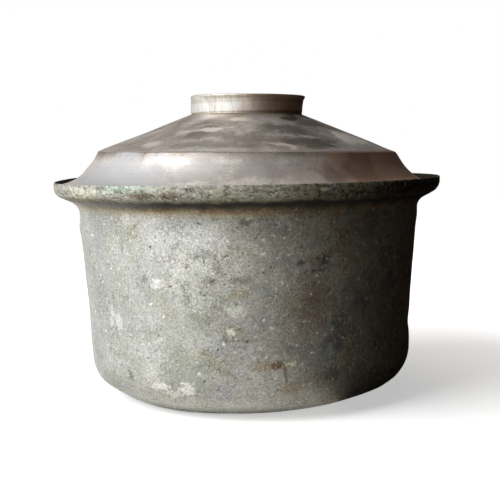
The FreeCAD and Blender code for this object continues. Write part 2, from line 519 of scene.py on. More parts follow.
bead_foot = RING_TOP - 2 * RING_BEAD
flared_radius = ring_radius + RING_FLARE
inner_foot = ring_radius - RING_STRIP + 1j * (RING_FOOT + rise(RING_STRIP, CONE_ANGLE))
ring_corners = [
    inner_foot,
    ring_radius + 1j * RING_FOOT,
    flared_radius + 1j * (bead_foot - RING_BEAD),
    BEAD_RADIUS + 1j * (bead_foot + RING_BEAD),
    BEAD_RADIUS + 1j * RING_TOP,
    flared_radius - RING_STRIP + 1j * RING_TOP,
    inner_foot,
]
ring_line = bent_line(ring_corners, [0.0, STRIP_BEND, BEAD_BEND, BEAD_BEND, RING_EDGE], [1.0] * 6)[:-1]


def ring_dents(points):
    """How far the ring's strip stands out from its line, in millimetres: waves less facets above a calm
    foot, plus dents."""
    upper = np.clip((points[..., 2] - RING_FOOT - RING_CALM_FOOT) / RING_EASE, 0, 1)
    rough = (RING_WAVE_DEPTH * upper * waves(points, 13.0, seed=23)
             - RING_FACET_DEPTH * upper * facets(points, 8.0, seed=29))
    return rough + pressed(points, RING_DENTS)


ring_grid = around(ring_line[:, None], columns(RING_COLUMNS))
ring_grid[..., :2] *= 1 + (ring_dents(ring_grid) / ring_radius)[..., None]
ring_grid[..., 2] -= RING_DROP
ring_handle = closed_mesh("ring_handle", tipped(ring_grid), has_poles=False)
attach(ring_handle, "root")
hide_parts("lid_ring")

# %% [markdown]
# ## Helpers for the finishes
#
# A finish is a small network of nodes. Colours are written as a painter would pick them, in sRGB hex, and
# one function turns them to the linear values that the renderer counts in. One more function adds a node,
# sets its properties and fills its sockets. Patterns read Object coordinates, which are metres, so the scale
# of a pattern is one over its real size in metres. An image texture would tie the finish to one file and one
# unwrapping, so everything is worked out from those coordinates.

# %% Turn colours to linear and add a node
FACTOR, UNDER, OVER = 0, 6, 7
PAINT = {"data_type": "RGBA"}
GLAZE = {"data_type": "RGBA", "blend_type": "MULTIPLY"}


def linear(hex_colour):
    """sRGB hex to linear red, green, blue and 1: c / 12.92 if dark, else ((c + 0.055) / 1.055) ^ 2.4."""
    parts = [int(hex_colour[i:i + 2], 16) / 255 for i in (1, 3, 5)]
    return [c / 12.92 if c <= 0.04045 else ((c + 0.055) / 1.055) ** 2.4 for c in parts] + [1.0]


def per_mm(size):
    """Scale of a pattern whose grains are this many millimetres across."""
    return METRE / size


def fill(tree, node, sockets):
    """The node with each named socket given a value, or linked to an output or a node's first live output."""
    for name, value in sockets.items():
        if isinstance(value, bpy.types.Node):
            value = next(output for output in value.outputs if output.enabled)
        if isinstance(value, bpy.types.NodeSocket):
            tree.links.new(value, node.inputs[name])
        else:
            node.inputs[name].default_value = value
    return node


def add(tree, kind, sockets=None, **settings):
    """One new node, of the type that starts with ShaderNode, with its settings and its sockets filled."""
    node = tree.nodes.new("ShaderNode" + kind)
    for name, value in settings.items():
        setattr(node, name, value)
    return fill(tree, node, sockets or {})


def emptied(owner):
    """The node tree of a new material or world, without its nodes."""
    owner.use_nodes = True
    owner.node_tree.nodes.clear()
    return owner.node_tree


def new_material(name):
    """A material, its node tree, its Principled shader and the Object coordinates."""
    material = bpy.data.materials.new(name)
    tree = emptied(material)
    shader = add(tree, "BsdfPrincipled")
    add(tree, "OutputMaterial", {"Surface": shader})
    return material, tree, shader, add(tree, "TexCoord").outputs["Object"]


print("pale tin in linear values:", [round(c, 3) for c in linear("#C0BFB6")])

# %% [markdown]
# ## Ramps and spots
#
# Two things come back in every finish. A colour ramp over a length, such as the height, stains a piece in
# bands. And the peaks of a noise above a high mark give ragged spots of all sizes, where discs would look
# like polka dots.

# %% Make ramps and ragged spots
def ramped(tree, value, tints, longest=1.0):
    """Colour for a value, from a list of values up to the longest and their colours, blended in between."""
    share = add(tree, "Math", {0: value, 1: longest}, operation="DIVIDE")
    ramp = add(tree, "ValToRGB", {0: share})
    stops = ramp.color_ramp.elements
    stops.remove(stops[1])
    stops[0].position, stops[0].color = tints[0][0] / longest, linear(tints[0][1])
    for at, colour in tints[1:]:
        stops.new(at / longest).color = linear(colour)
    return ramp


def peaks(tree, place, size, seed, low, high):
    """Share inside ragged spots: 0 to 1 where a noise of this size is between low and high, and 1 above."""
    noise = add(tree, "TexNoise", {"Vector": place, "W": seed, "Scale": per_mm(size), "Detail": 3.0,
                                   "Roughness": 0.65}, noise_dimensions="4D")
    return add(tree, "MapRange", {"Value": noise, "From Min": low, "From Max": high})


print("a spot of 4 mm has a scale of", per_mm(4.0))

# %% [markdown]
# ## Marks on an unrolled surface
#
# Wear that has a story is placed mark by mark. A mark is an ellipse on the unrolled surface, where one axis
# is the angle from the front and the other a length: the height on the pot, the radius on the lid. A fine
# noise makes its edge crumble. The marks are a short list, so that a new one costs one line.

# %% Make marks on an unrolled surface
def unrolled(tree, place, second):
    """Angle from the front in degrees, to the right, and a second length in millimetres, as a flat vector."""
    parts = add(tree, "SeparateXYZ", {"Vector": place})
    away = add(tree, "Math", {0: parts.outputs["Y"], 1: -1.0}, operation="MULTIPLY")
    angle = add(tree, "Math", {0: parts.outputs["X"], 1: away}, operation="ARCTAN2")
    degrees = add(tree, "Math", {0: angle}, operation="DEGREES")
    return add(tree, "CombineXYZ", {"X": degrees, "Y": second})


def crumbling(tree, place, size, amount):
    """Noise around 0 that shifts the edge of a mark in and out, in half sizes of the mark."""
    noise = add(tree, "TexNoise", {"Vector": place, "Scale": per_mm(size), "Detail": 4.0, "Roughness": 0.75})
    return add(tree, "Math", {0: noise, 1: amount, 2: -amount / 2}, operation="MULTIPLY_ADD")


def inside_mark(tree, spread, ragged, turn, up, half_turn, half_up, slant, strength):
    """Share inside an ellipse: its full strength where the distance from its middle, in half sizes and with
    the ragged noise added, is below 0.4, and 0 from 1 on."""
    near = add(tree, "Mapping", {"Vector": spread, "Location": (turn, up, 0.0),
                                 "Rotation": (0.0, 0.0, math.radians(slant)),
                                 "Scale": (half_turn, half_up, 1.0)}, vector_type="TEXTURE")
    far = add(tree, "VectorMath", {0: near}, operation="LENGTH")
    rough = add(tree, "Math", {0: far, 1: ragged}, operation="ADD")
    return add(tree, "MapRange", {"Value": rough, "From Min": 0.4, "From Max": 1.0, "To Min": strength,
                                  "To Max": 0.0}, interpolation_type="SMOOTHSTEP")


def marked(tree, spread, ragged, colour, marks):
    """The colour with the paint of every mark laid over it, one after the other."""
    for *place_and_size, paint in marks:
        share = inside_mark(tree, spread, ragged, *place_and_size)
        colour = add(tree, "Mix", {FACTOR: share, UNDER: colour, OVER: linear(paint)}, **PAINT)
    return colour


print("one degree on the pot's wall is", round(math.radians(1) * waist_radius, 2), "mm wide")

# %% [markdown]
# ## Old tin on the pot
#
# The tin was wiped on hot and has oxidised for decades. It is a dull grey with clouds of violet and olive, a
# few centimetres wide. Three noises of different sizes give them, because one noise alone looks like a
# pattern. Brown and slate blotches cover the right side more and more: painted shade of the unlit side,
# broken into blotches. Part of the surface is still metal under the crust, so the shader is half metallic and
# rough.

# %% Start the pot's finish with its clouds
CLOUD, BLOTCH = 36, 26
# size (mm), seed, noise where the paint starts and where it is full, its most, paint
TINGES = [
    (24, 5.0, 0.5, 0.68, 0.7, "#B2B0B4"),
    (17, 11.0, 0.52, 0.7, 0.6, "#A6A78C"),
]

# Tin wiped on hot, then oxidised: to the eye a dull grey that gathers light in a broad soft sheen.
oxidised_tin, tree, shader, place = new_material("oxidised_tin")
fill(tree, shader, {"Metallic": 0.5})

cloud = add(tree, "TexNoise", {"Vector": place, "Scale": per_mm(CLOUD), "Detail": 6.0, "Roughness": 0.6})
share = add(tree, "MapRange", {"Value": cloud, "From Min": 0.36, "From Max": 0.64})
tin = add(tree, "Mix", {FACTOR: share, UNDER: linear("#ACADA2"), OVER: linear("#C6C6C0")}, **PAINT)
for size, seed, low, high, most, paint in TINGES:
    tinge = add(tree, "TexNoise", {"Vector": place, "W": seed, "Scale": per_mm(size), "Detail": 4.0},
                noise_dimensions="4D")
    share = add(tree, "MapRange", {"Value": tinge, "From Min": low, "From Max": high, "To Max": most})
    tin = add(tree, "Mix", {FACTOR: share, UNDER: tin, OVER: linear(paint)}, **PAINT)

axes = add(tree, "SeparateXYZ", {"Vector": place})
blotch = add(tree, "TexNoise", {"Vector": place, "W": 17.0, "Scale": per_mm(BLOTCH), "Detail": 7.0,
                                "Roughness": 0.62, "Distortion": 0.5}, noise_dimensions="4D")
# Painted shade: brown and slate blotches that darken the unlit right side, more and more to the right.
blotchy_right_shade = ramped(tree, blotch, [
    (0.34, "#5C605E"), (0.43, "#8E8D7E"), (0.49, "#ACA690"), (0.55, "#8E7A66"), (0.61, "#A09C80"),
    (0.68, "#6E6654"),
])
share = add(tree, "MapRange", {"Value": axes.outputs["X"], "From Min": -0.03, "From Max": 0.07,
                               "To Max": 0.8})
tin = add(tree, "Mix", {FACTOR: share, UNDER: tin, OVER: blotchy_right_shade}, **PAINT)
print(f"clouds of {CLOUD}, {TINGES[0][0]} and {TINGES[1][0]} mm and blotches of {BLOTCH} mm")

# %% [markdown]
# ## Single marks on the pot
#
# A few marks are the pot's own history: chips, lime above the heel, a rust spot with a drip, scratches, the
# wiped parts of the lip. Others are painted light: painted shade that dulls the lit left side, a painted
# highlight left of the middle, and painted shade on the lip from the middle to the right. They lie under the
# grain, which then breaks them up as it does the rest.

# %% Lay the single marks on the pot
# degrees from the front, height, half degrees, half height (mm), slant (degrees), strength, paint
POT_MARKS = [
    # painted shade that dulls the lit left side, a painted highlight beside it, and pale clouds
    (-66, 96, 34, 100, 0, 0.6, "#A2A39F"), (-22, 134, 16, 15, 0, 0.5, "#E2E2DC"),
    (-15, 142, 9, 11, 0, 0.5, "#DEDED8"), (-14, 112, 18, 26, 0, 0.35, "#E4E5DE"),
    # pale runs on the left, a pit and a chip
    (-39.8, 154, 2.4, 8, 0, 0.6, "#E0E0DA"), (-52, 76, 2.0, 11, 0, 0.6, "#E6E7E1"),
    (-48, 73, 2.2, 10, 0, 0.6, "#E6E7E1"), (-34, 108, 1.6, 3.6, 0, 0.6, "#77776A"),
    (-29.2, 105, 2.6, 5.0, 0, 0.75, "#EDEDE6"),
    # eaten crust left of the middle
    (-14.5, 127, 4.0, 4.5, 0, 0.45, "#7C7D70"), (-13.4, 118, 4.0, 8, 10, 0.55, "#DEDFD6"),
    (-11.6, 109, 2.6, 5, 15, 0.5, "#707064"), (-9, 118, 2.0, 12, 10, 0.35, "#7C7D70"),
    (-16, 92, 3.0, 9, 0, 0.4, "#DCDDD4"),
    # chips and an ochre stain in the middle
    (-2.8, 98.5, 3.8, 4.6, 0, 0.55, "#A89A68"), (-2.4, 108.5, 4.0, 4.5, 0, 0.6, "#66685A"),
    (-4, 87, 4.5, 6, 0, 0.6, "#E0E2D2"), (-0.5, 151, 2.4, 3.0, 0, 0.6, "#6A665A"),
    (4.2, 127.5, 1.4, 1.8, 0, 0.9, "#F4F4E8"), (4.8, 114, 0.9, 1.2, 0, 0.8, "#3A362E"),
    (16, 120, 1.8, 2.6, 0, 0.7, "#34302A"), (23.5, 121, 2.6, 5.4, 0, 0.7, "#2A2620"),
    (21, 114, 5.0, 2.0, 0, 0.6, "#4A3030"), (8, 122, 7, 9, 0, 0.35, "#83857C"),
    # a blister low in the middle, with a scratch below it
    (-5.5, 71, 5.0, 10, 0, 0.5, "#8F9078"), (-5.5, 70.5, 2.2, 3.6, 0, 0.9, "#F2F3E2"),
    (-2, 64.2, 9.0, 1.4, 0, 0.35, "#6A6A5A"), (4, 78, 4, 8, 0, 0.5, "#8A8E92"),
    (14, 56, 7, 6, 0, 0.4, "#7C8084"),
    # the rust spot, its drip and the chip beside it
    (6, 45, 7, 5, 15, 0.45, "#9C8458"), (8.6, 45, 3.0, 3.8, 20, 0.85, "#6A4A22"),
    (10.4, 46.4, 2.8, 2.6, 10, 0.7, "#5E4426"), (11.2, 37, 0.6, 12, 2, 0.55, "#5E4A34"),
    (13.2, 45.5, 2.6, 2.6, 30, 0.9, "#E2E2C8"), (12.4, 44, 1.4, 2.0, 0, 0.8, "#A89C6E"),
    (13, 27, 7, 7, 0, 0.45, "#8E7A58"),
    # scratches and dark and rusty patches on the right
    (26.5, 53, 1.4, 9, 0, 1.0, "#A8AAA0"), (25.5, 44, 4.0, 1.6, 0, 0.8, "#A8AAA0"),
    (27, 36, 4, 8, 0, 0.6, "#33383A"), (30, 70, 4, 16, 0, 0.5, "#3A403C"),
    (20, 92, 7, 30, 0, 0.4, "#86664E"),
    # lime above the heel
    (-43.2, 33, 1.5, 6.0, 8, 0.7, "#74755F"), (-31, 27, 5.0, 4.6, -25, 0.8, "#F0F0EA"),
    (-26, 22, 4.5, 3.4, -10, 0.7, "#E8E8E0"), (-21, 26, 4.0, 8.0, 0, 0.8, "#F4F4EE"),
    (-34, 38, 3.4, 9, 0, 0.4, "#DFDFD8"),
    # the tide line under the ledge
    (-29, 160, 9, 2.6, 0, 0.5, "#B09C74"), (-7.8, 158, 9, 2.6, 0, 0.5, "#A48074"),
    (7, 157.5, 11, 3, 0, 0.4, "#93705C"),
    # the lip: rust, verdigris, wiped places, and painted shade from the middle to the right and under the
    # ledge there
    (-28, 171.2, 5.2, 4.4, 0, 0.8, "#6E573A"), (-19.5, 170.6, 4.4, 4.0, 0, 0.7, "#6E573A"),
    (-34, 176, 14, 5, 0, 0.6, "#B4CCC4"), (-50, 172, 12, 5, 0, 0.6, "#F0F2E6"),
    (-4, 173, 16, 6, 0, 0.3, "#C4C8B8"), (-62, 166, 34, 3, 0, 1.0, "#8A7E62"),
    (46, 168, 30, 4, 0, 0.9, "#4A463C"), (18, 161, 12, 9, 0, 0.45, "#45403A"),
    (20.2, 174, 1.4, 2.0, 0, 0.9, "#DCDCC6"), (58, 172, 34, 9, 0, 0.9, "#28241A"),
    # the pale heel
    (-14, 12, 44, 9, 0, 0.6, "#D6D7CC"),
]

height = add(tree, "Math", {0: axes.outputs["Z"], 1: METRE}, operation="MULTIPLY")
wall = unrolled(tree, place, height)
tin = marked(tree, wall, crumbling(tree, place, 2.6, 3.4), tin, POT_MARKS)
print(len(POT_MARKS), "marks on the pot")

# %% [markdown]
# ## Grain and crust
#
# Close up the tin is a fine mix of light and dark grains. In places a thicker crust lies over it and has
# cracked into crumbs with dark gaps: in patches all round, and most on the wall left of the middle. A slow
# noise and one large mark say where, and a colour ramp over a finer noise draws the crumbs.

# %% Add the grain and the crust
# The real grain is about half a millimetre. It is drawn coarser, because half a pixel wouldn't show.
GRAIN, CRUMB, CRUST_PATCH = 1.4, 4.6, 30.0

grain = add(tree, "TexNoise", {"Vector": place, "Scale": per_mm(GRAIN), "Detail": 2.5, "Roughness": 0.75})
grain_tone = add(tree, "MapRange", {"Value": grain, "From Min": 0.28, "From Max": 0.72, "To Min": 0.5,
                                    "To Max": 1.3})
tin = add(tree, "Mix", {FACTOR: 1.0, UNDER: tin, OVER: grain_tone}, **GLAZE)

patches = peaks(tree, place, CRUST_PATCH, 12.0, 0.5, 0.62)
middle_patch = inside_mark(tree, wall, crumbling(tree, place, 9.0, 1.6), -13, 114, 20, 30, 0, 1.0)
crusted = add(tree, "Math", {0: patches, 1: middle_patch}, operation="MAXIMUM")
crumbs = add(tree, "TexNoise", {"Vector": place, "W": 9.0, "Scale": per_mm(CRUMB), "Detail": 6.0,
                                "Roughness": 0.8, "Distortion": 0.8}, noise_dimensions="4D")
crumb_tone = ramped(tree, crumbs, [
    (0.36, "#6A685E"), (0.43, "#E2E0D6"), (0.49, "#FFFFFF"), (0.56, "#FFFFFF"), (0.59, "#8E8C7E"),
    (0.62, "#FFFFFF"),
])
tin = add(tree, "Mix", {FACTOR: crusted, UNDER: tin, OVER: crumb_tone}, **GLAZE)
print(f"grain of {GRAIN} mm and crumbs of {CRUMB} mm in patches of {CRUST_PATCH:.0f} mm")

# %% [markdown]
# ## Flecks, pits and cracks
#
# Pale flecks show where the crust has chipped and dark pits where it is eaten: both are peaks of a noise.
# The hair cracks are the borders of Voronoi cells that a noise bends, and a second noise leaves only short
# arcs of them.

# %% Add flecks, pits and cracks
FLECK, PIT, CRACK_CELL, BEND = 3.4, 4.2, 15, (0.016,) * 3

flecks = peaks(tree, place, FLECK, 2.0, 0.6, 0.7)
pits = peaks(tree, place, PIT, 8.0, 0.64, 0.7)
wander = add(tree, "TexNoise", {"Vector": place, "Scale": per_mm(9), "Detail": 4.0})
wandering = add(tree, "VectorMath", {0: wander.outputs["Color"], 1: BEND, 2: place}, operation="MULTIPLY_ADD")
cells = add(tree, "TexVoronoi", {"Vector": wandering, "Scale": per_mm(CRACK_CELL)},
            feature="DISTANCE_TO_EDGE")
borders = add(tree, "MapRange", {"Value": cells, "From Min": 0.045, "From Max": 0.0})
cracks = add(tree, "Math", {0: borders, 1: peaks(tree, place, 13.0, 5.0, 0.54, 0.66)}, operation="MULTIPLY")
for share, paint in [(flecks, "#E2E3DC"), (pits, "#63625A"), (cracks, "#6F6F62")]:
    tin = add(tree, "Mix", {FACTOR: share, UNDER: tin, OVER: linear(paint)}, **PAINT)
print(f"flecks of {FLECK} mm, pits of {PIT} mm and arcs of cracks on cells of {CRACK_CELL} mm")

# %% [markdown]
# ## Stains and painted shade by height
#
# The hollow under the ledge and the foot of the heel are glazed dark: painted shade, with some grime in the
# hollow. Below the ledge there is an ochre tide line. A colour ramp over the height glazes the tin, and a
# noise shifts the height by a few millimetres so that no line runs straight. On the left, where the light
# falls, the hollow is lighter and its crease lies a little higher, so the glaze is thinner there and its
# heights are raised.

# %% Stain the pot and paint shade on it by height
# The dark stops at the foot and from 161 to 166 mm, in the hollow under the ledge, are painted shade. The
# ochre stops above 155 mm are the tide line.
HEIGHT_STAIN_AND_SHADE_TINTS = [
    (0.0, "#4E4A40"), (2.0, "#A8A69A"), (5.0, "#ECECE8"), (10.0, "#FFFFFF"), (152.0, "#FFFFFF"),
    (155.4, "#F8F2E4"), (157.4, "#EADCC2"), (159.4, "#B4A48A"), (161.1, "#7C6F5A"), (162.2, "#564C3C"),
    (163.2, "#2A2418"), (164.6, "#221E14"), (165.3, "#6A6250"), (166.2, "#A8A18A"), (167.6, "#E6E2D6"),
    (170.0, "#FFFDF8"),
]

shift = add(tree, "Math", {0: wander, 1: 0.005, 2: -0.0025}, operation="MULTIPLY_ADD")
raised = add(tree, "MapRange", {"Value": axes.outputs["X"], "From Min": -0.14, "From Max": -0.09,
                                "To Min": 0.0013, "To Max": 0.0})
lowered = add(tree, "Math", {0: shift, 1: raised}, operation="SUBTRACT")
ragged = add(tree, "Math", {0: axes.outputs["Z"], 1: lowered}, operation="ADD")
ragged_height = add(tree, "Math", {0: ragged, 1: METRE}, operation="MULTIPLY")
stain_and_shade_tint = ramped(tree, ragged_height, HEIGHT_STAIN_AND_SHADE_TINTS, POT_HEIGHT)
# The glaze, its painted shade with it, is half as strong on the lit left side.
stain_and_shade_share = add(tree, "MapRange", {"Value": axes.outputs["X"], "From Min": -0.15, "From Max": -0.06,
                               "To Min": 0.5})
tin = add(tree, "Mix", {FACTOR: stain_and_shade_share, UNDER: tin, OVER: stain_and_shade_tint}, **GLAZE)
print(len(HEIGHT_STAIN_AND_SHADE_TINTS), "tints from the base to the lip")

# %% [markdown]
# ## The chipped lip
#
# The lip is knocked by every lid and ladle, so its crust has chipped into a patchwork of pale and dark bits,
# wider than high. Its inside lies in shade behind the lid and is glazed dark as painted shade. That side is
# found by its radius, one sheet less than the outside's, and only where the lip stands upright, because lower
# down the outside has such a radius too.

# %% Chip the lip and paint shade on its inside
CHIP = 5.5
INSIDE_START, INSIDE_FULL = RIM_RADIUS - 0.9, RIM_RADIUS - 1.2

on_lip = add(tree, "MapRange", {"Value": ragged_height, "From Min": 165.5, "From Max": 169.5})
squeezed = add(tree, "Mapping", {"Vector": place, "Scale": (1.0, 1.0, 1.8)})
chips = add(tree, "TexNoise", {"Vector": squeezed, "Scale": per_mm(CHIP), "Detail": 6.0, "Roughness": 0.78,
                               "Distortion": 0.4})
chip_tone = ramped(tree, chips, [
    (0.34, "#564A38"), (0.42, "#A49E90"), (0.5, "#E2E1DA"), (0.58, "#FAF9F5"), (0.66, "#FFFFFF"),
])
tin = add(tree, "Mix", {FACTOR: on_lip, UNDER: tin, OVER: chip_tone}, **GLAZE)

# Painted shade on the inside of the lip, behind the lid.
flat_place = add(tree, "VectorMath", {0: place, 1: (METRE, METRE, 0.0)}, operation="MULTIPLY")
radius = add(tree, "VectorMath", {0: flat_place}, operation="LENGTH")
within = add(tree, "MapRange", {"Value": radius, "From Min": INSIDE_START, "From Max": INSIDE_FULL})
upright = add(tree, "MapRange", {"Value": height, "From Min": 170.5, "From Max": 172.0})
inside_lip_shade = add(tree, "Math", {0: within, 1: upright}, operation="MULTIPLY")
tin = add(tree, "Mix", {FACTOR: inside_lip_shade, UNDER: tin, OVER: linear("#4A443A")}, **GLAZE)
print(f"chips of {CHIP} mm on the lip")

# %% [markdown]
# ## Relief and gloss of the old tin
#
# The crust isn't smooth: its grains stand up a tenth of a millimetre, and the pits and cracks go in. Where
# the crust is thin the metal is a little smoother. The same textures that paint them drive the bump and the
# roughness, so that colour and relief stay together.

# %% Give the pot its relief and gloss
BUMP_HEIGHT = 0.0004

relief = add(tree, "Math", {0: pits, 1: -1.4, 2: grain}, operation="MULTIPLY_ADD")
relief = add(tree, "Math", {0: cracks, 1: -0.8, 2: relief}, operation="MULTIPLY_ADD")
fill(tree, shader, {
    "Base Color": tin,
    "Normal": add(tree, "Bump", {"Height": relief, "Strength": 0.55, "Distance": BUMP_HEIGHT}),
    "Roughness": add(tree, "MapRange", {"Value": cloud, "From Min": 0.35, "From Max": 0.65, "To Min": 0.72,
                                        "To Max": 0.58}),
})
pot_shell.data.materials.append(oxidised_tin)
print("the pot's finish has", len(tree.nodes), "nodes")

# %% [markdown]
# ## Wiped tin on the lid
#
# The lid is handled and wiped, so its tin is a satin metal, warm grey, with soft lobes that the cloth left.
# The lobes are one slow noise with a distortion of its own, which bends it into curls. Where the cloth
# stopped there is one hard edge: the part of a slow noise after the point, times a few, rises slowly and
# drops at once, as such a stroke does. The cone shows both more than the shoulder, which is scoured even.

# %% Start the lid's finish with wiped lobes
LOBE, SWEEP, STROKE_PATCH, SWEEP_COUNT = 46, 64, 34.0, 7.0

# Tin wiped with a cloth: to the eye a warm satin metal with one broad gleam and soft lobes.
wiped_tin, tree, shader, place = new_material("wiped_tin")
fill(tree, shader, {"Metallic": 0.85})

flat_place = add(tree, "VectorMath", {0: place, 1: (METRE, METRE, 0.0)}, operation="MULTIPLY")
radius = add(tree, "VectorMath", {0: flat_place}, operation="LENGTH")
on_cone = add(tree, "MapRange", {"Value": radius, "From Min": fold_radius + 1, "From Max": fold_radius - 3})
lobes = add(tree, "TexNoise", {"Vector": place, "Scale": per_mm(LOBE), "Detail": 3.0, "Roughness": 0.45,
                               "Distortion": 1.1})
contrast = add(tree, "MapRange", {"Value": on_cone, "To Min": 0.25, "To Max": 0.5})
even = add(tree, "MapRange", {"Value": lobes, "From Min": 0.38, "From Max": 0.62, "To Min": -1.0,
                              "To Max": 1.0})
share = add(tree, "Math", {0: even, 1: contrast, 2: 0.5}, operation="MULTIPLY_ADD")
tin = add(tree, "Mix", {FACTOR: share, UNDER: linear("#9C938B"), OVER: linear("#CAC6C0")}, **PAINT)

sweep = add(tree, "TexNoise", {"Vector": place, "W": 3.0, "Scale": per_mm(SWEEP), "Detail": 1.0,
                               "Roughness": 0.4, "Distortion": 0.5}, noise_dimensions="4D")
sweeps = add(tree, "Math", {0: sweep, 1: SWEEP_COUNT}, operation="MULTIPLY")
stroke = add(tree, "Math", {0: sweeps}, operation="FRACT")
cone_stroke = add(tree, "Math", {0: stroke, 1: on_cone}, operation="MULTIPLY")
here = peaks(tree, place, STROKE_PATCH, 6.0, 0.42, 0.58)
share = add(tree, "Math", {0: cone_stroke, 1: here}, operation="MULTIPLY")
tin = add(tree, "Mix", {FACTOR: share, UNDER: tin, OVER: linear("#80776E")}, **PAINT)
print(f"lobes of {LOBE} mm and strokes of a cloth on {wiped_tin.name}")

# %% [markdown]
# ## Haze and freckles
#
# Wiping with ash leaves a matt haze of tiny scratches, and single freckles of dirt stay in the pores.

# %% Add haze and freckles
# The scratches are a tenth of this wide on the real lid. A finer haze would be lost in the pixels.
HAZE, FRECKLE = 2.0, 3.6

haze = add(tree, "TexNoise", {"Vector": place, "Scale": per_mm(HAZE), "Detail": 3.0, "Roughness": 0.7})
haze_tone = add(tree, "MapRange", {"Value": haze, "From Min": 0.36, "From Max": 0.64, "To Min": 0.82,
                                   "To Max": 1.14})
tin = add(tree, "Mix", {FACTOR: 1.0, UNDER: tin, OVER: haze_tone}, **GLAZE)
freckles = peaks(tree, place, FRECKLE, 4.0, 0.66, 0.74)
tin = add(tree, "Mix", {FACTOR: freckles, UNDER: tin, OVER: linear("#6F665C")}, **PAINT)
print(f"haze of {HAZE} mm and freckles of {FRECKLE} mm")

# %% [markdown]
# ## Dirt rings, painted shade and the brown side
#
# Dirt lies round the foot of the ring, and painted shade lies just below the fold. Both follow the radius, so
# a ramp over the radius gives them. The right side of the shoulder, which lies in shade, is painted brown:
# one soft share of the angle, which starts and ends slowly. The angle and the radius are both warped by a
# noise, so that neither this painted brown nor the marks have a drawn outline.

# %% Add the dirt rings, the painted shade below the fold and the painted brown side
WARP = 24
WARP_SPAN, WARP_BACK = (26.0, 22.0, 0.0), (-13.0, -11.0, 0.0)
LID_REACH = 156.0
# Dirt at the foot of the ring, and painted shade just below the fold from 122 to 127 mm.
RADIUS_DIRT_AND_SHADE_TINTS = [
    (0.0, "#FFFFFF"), (43.0, "#F4F0EA"), (46.0, "#CFC6BA"), (48.5, "#ECE7DE"), (52.0, "#FFFFFF"),
    (121.4, "#FFFFFF"), (122.6, "#A29A92"), (124.2, "#C6C0B8"), (127.0, "#FFFFFF"), (LID_REACH, "#FFFFFF"),
]

rings = ramped(tree, radius, RADIUS_DIRT_AND_SHADE_TINTS, LID_REACH)
tin = add(tree, "Mix", {FACTOR: 1.0, UNDER: tin, OVER: rings}, **GLAZE)

warp = add(tree, "TexNoise", {"Vector": place, "W": 21.0, "Scale": per_mm(WARP), "Detail": 3.0,
                              "Roughness": 0.55}, noise_dimensions="4D")
warped = add(tree, "VectorMath", {0: warp.outputs["Color"], 1: WARP_SPAN, 2: WARP_BACK},
             operation="MULTIPLY_ADD")
sheet = add(tree, "VectorMath", {0: unrolled(tree, place, radius), 1: warped}, operation="ADD")
turn = add(tree, "SeparateXYZ", {"Vector": sheet})
# Painted brown on the shaded right side of the shoulder.
shaded_side_start = add(tree, "MapRange", {"Value": turn, "From Min": 20.0, "From Max": 36.0, "To Max": 0.9},
                  interpolation_type="SMOOTHSTEP")
shaded_side_end = add(tree, "MapRange", {"Value": turn, "From Min": 130.0, "From Max": 105.0},
                interpolation_type="SMOOTHSTEP")
off_cone = add(tree, "Math", {0: 1.0, 1: on_cone}, operation="SUBTRACT")
shaded_side_share = add(tree, "Math", {0: shaded_side_start, 1: shaded_side_end}, operation="MULTIPLY")
share = add(tree, "Math", {0: shaded_side_share, 1: off_cone}, operation="MULTIPLY")
tin = add(tree, "Mix", {FACTOR: share, UNDER: tin, OVER: linear("#B08F7A")}, **PAINT)
print(len(RADIUS_DIRT_AND_SHADE_TINTS), "tints from the middle to the edge, and a brown side")

# %% [markdown]
# ## Single marks on the lid
#
# The wiped patches and stains that can be told apart are marks, as on the pot, with the radius in place of
# the height, and so are some painted shade, a painted reflection and the ring's painted shadow. Their edges
# curl with a slow noise, and on the cone a finer one tears them. The fold is an edge, so it is painted a
# little brighter in one thin broken line: rubbed wear and a painted highlight on the edge.

# %% Lay the single marks on the lid
FOLD_LINE, FOLD_HALF_WIDTH = 121.2, 0.7
# degrees from the front, radius, half degrees, half radius (mm), slant (degrees), strength, paint
LID_MARKS = [
    # the shoulder: painted shade dims the lamp's highlight on the left and in the middle, and it is browner
    # to the right
    (-48, 138, 34, 22, 0, 0.9, "#A0A0A0"), (-15, 132, 14, 11, 0, 0.8, "#9A9692"),
    (4, 132, 18, 11, 0, 0.7, "#8E8782"), (24, 138, 14, 18, 0, 0.6, "#B8ABA2"),
    # the cone: pale wiped patches and the dull ones between them, with (57, 96) a painted reflection and (38,
    # 55) the ring's painted shadow
    (-41, 106, 8, 9, -30, 0.6, "#D6D3CE"), (-24, 80, 20, 6, -22, 0.8, "#E0DCD6"),
    (-20, 92, 24, 8, -18, 0.6, "#857C73"), (-14, 109, 24, 9, 0, 0.6, "#7E756C"),
    (-6, 60, 16, 6, 0, 0.6, "#E2DCCC"), (22, 78, 20, 13, 10, 0.78, "#5E564F"),
    (46, 66, 18, 12, 0, 0.72, "#625A52"), (27, 104, 15, 13, 0, 0.8, "#5C544D"),
    (14, 113, 12, 3.4, 74, 0.8, "#CEC8C0"), (57, 96, 16, 18, 20, 0.9, "#F0EAE2"),
    (10, 88, 12, 6, -30, 0.5, "#6A625A"), (38, 55, 17, 8, 0, 0.9, "#453628"),
    (2, 98, 13, 10, 20, 0.6, "#7C736B"),
    # two darker places in the brown side
    (27, 138, 8, 13, 0, 0.55, "#6E5548"), (43, 138, 11, 22, 0, 0.5, "#7A5F4E"),
]

curled = crumbling(tree, place, 20.0, 1.5)
torn = add(tree, "Math", {0: crumbling(tree, place, 3.5, 1.0), 1: on_cone, 2: curled},
           operation="MULTIPLY_ADD")
tin = marked(tree, sheet, torn, tin, LID_MARKS)
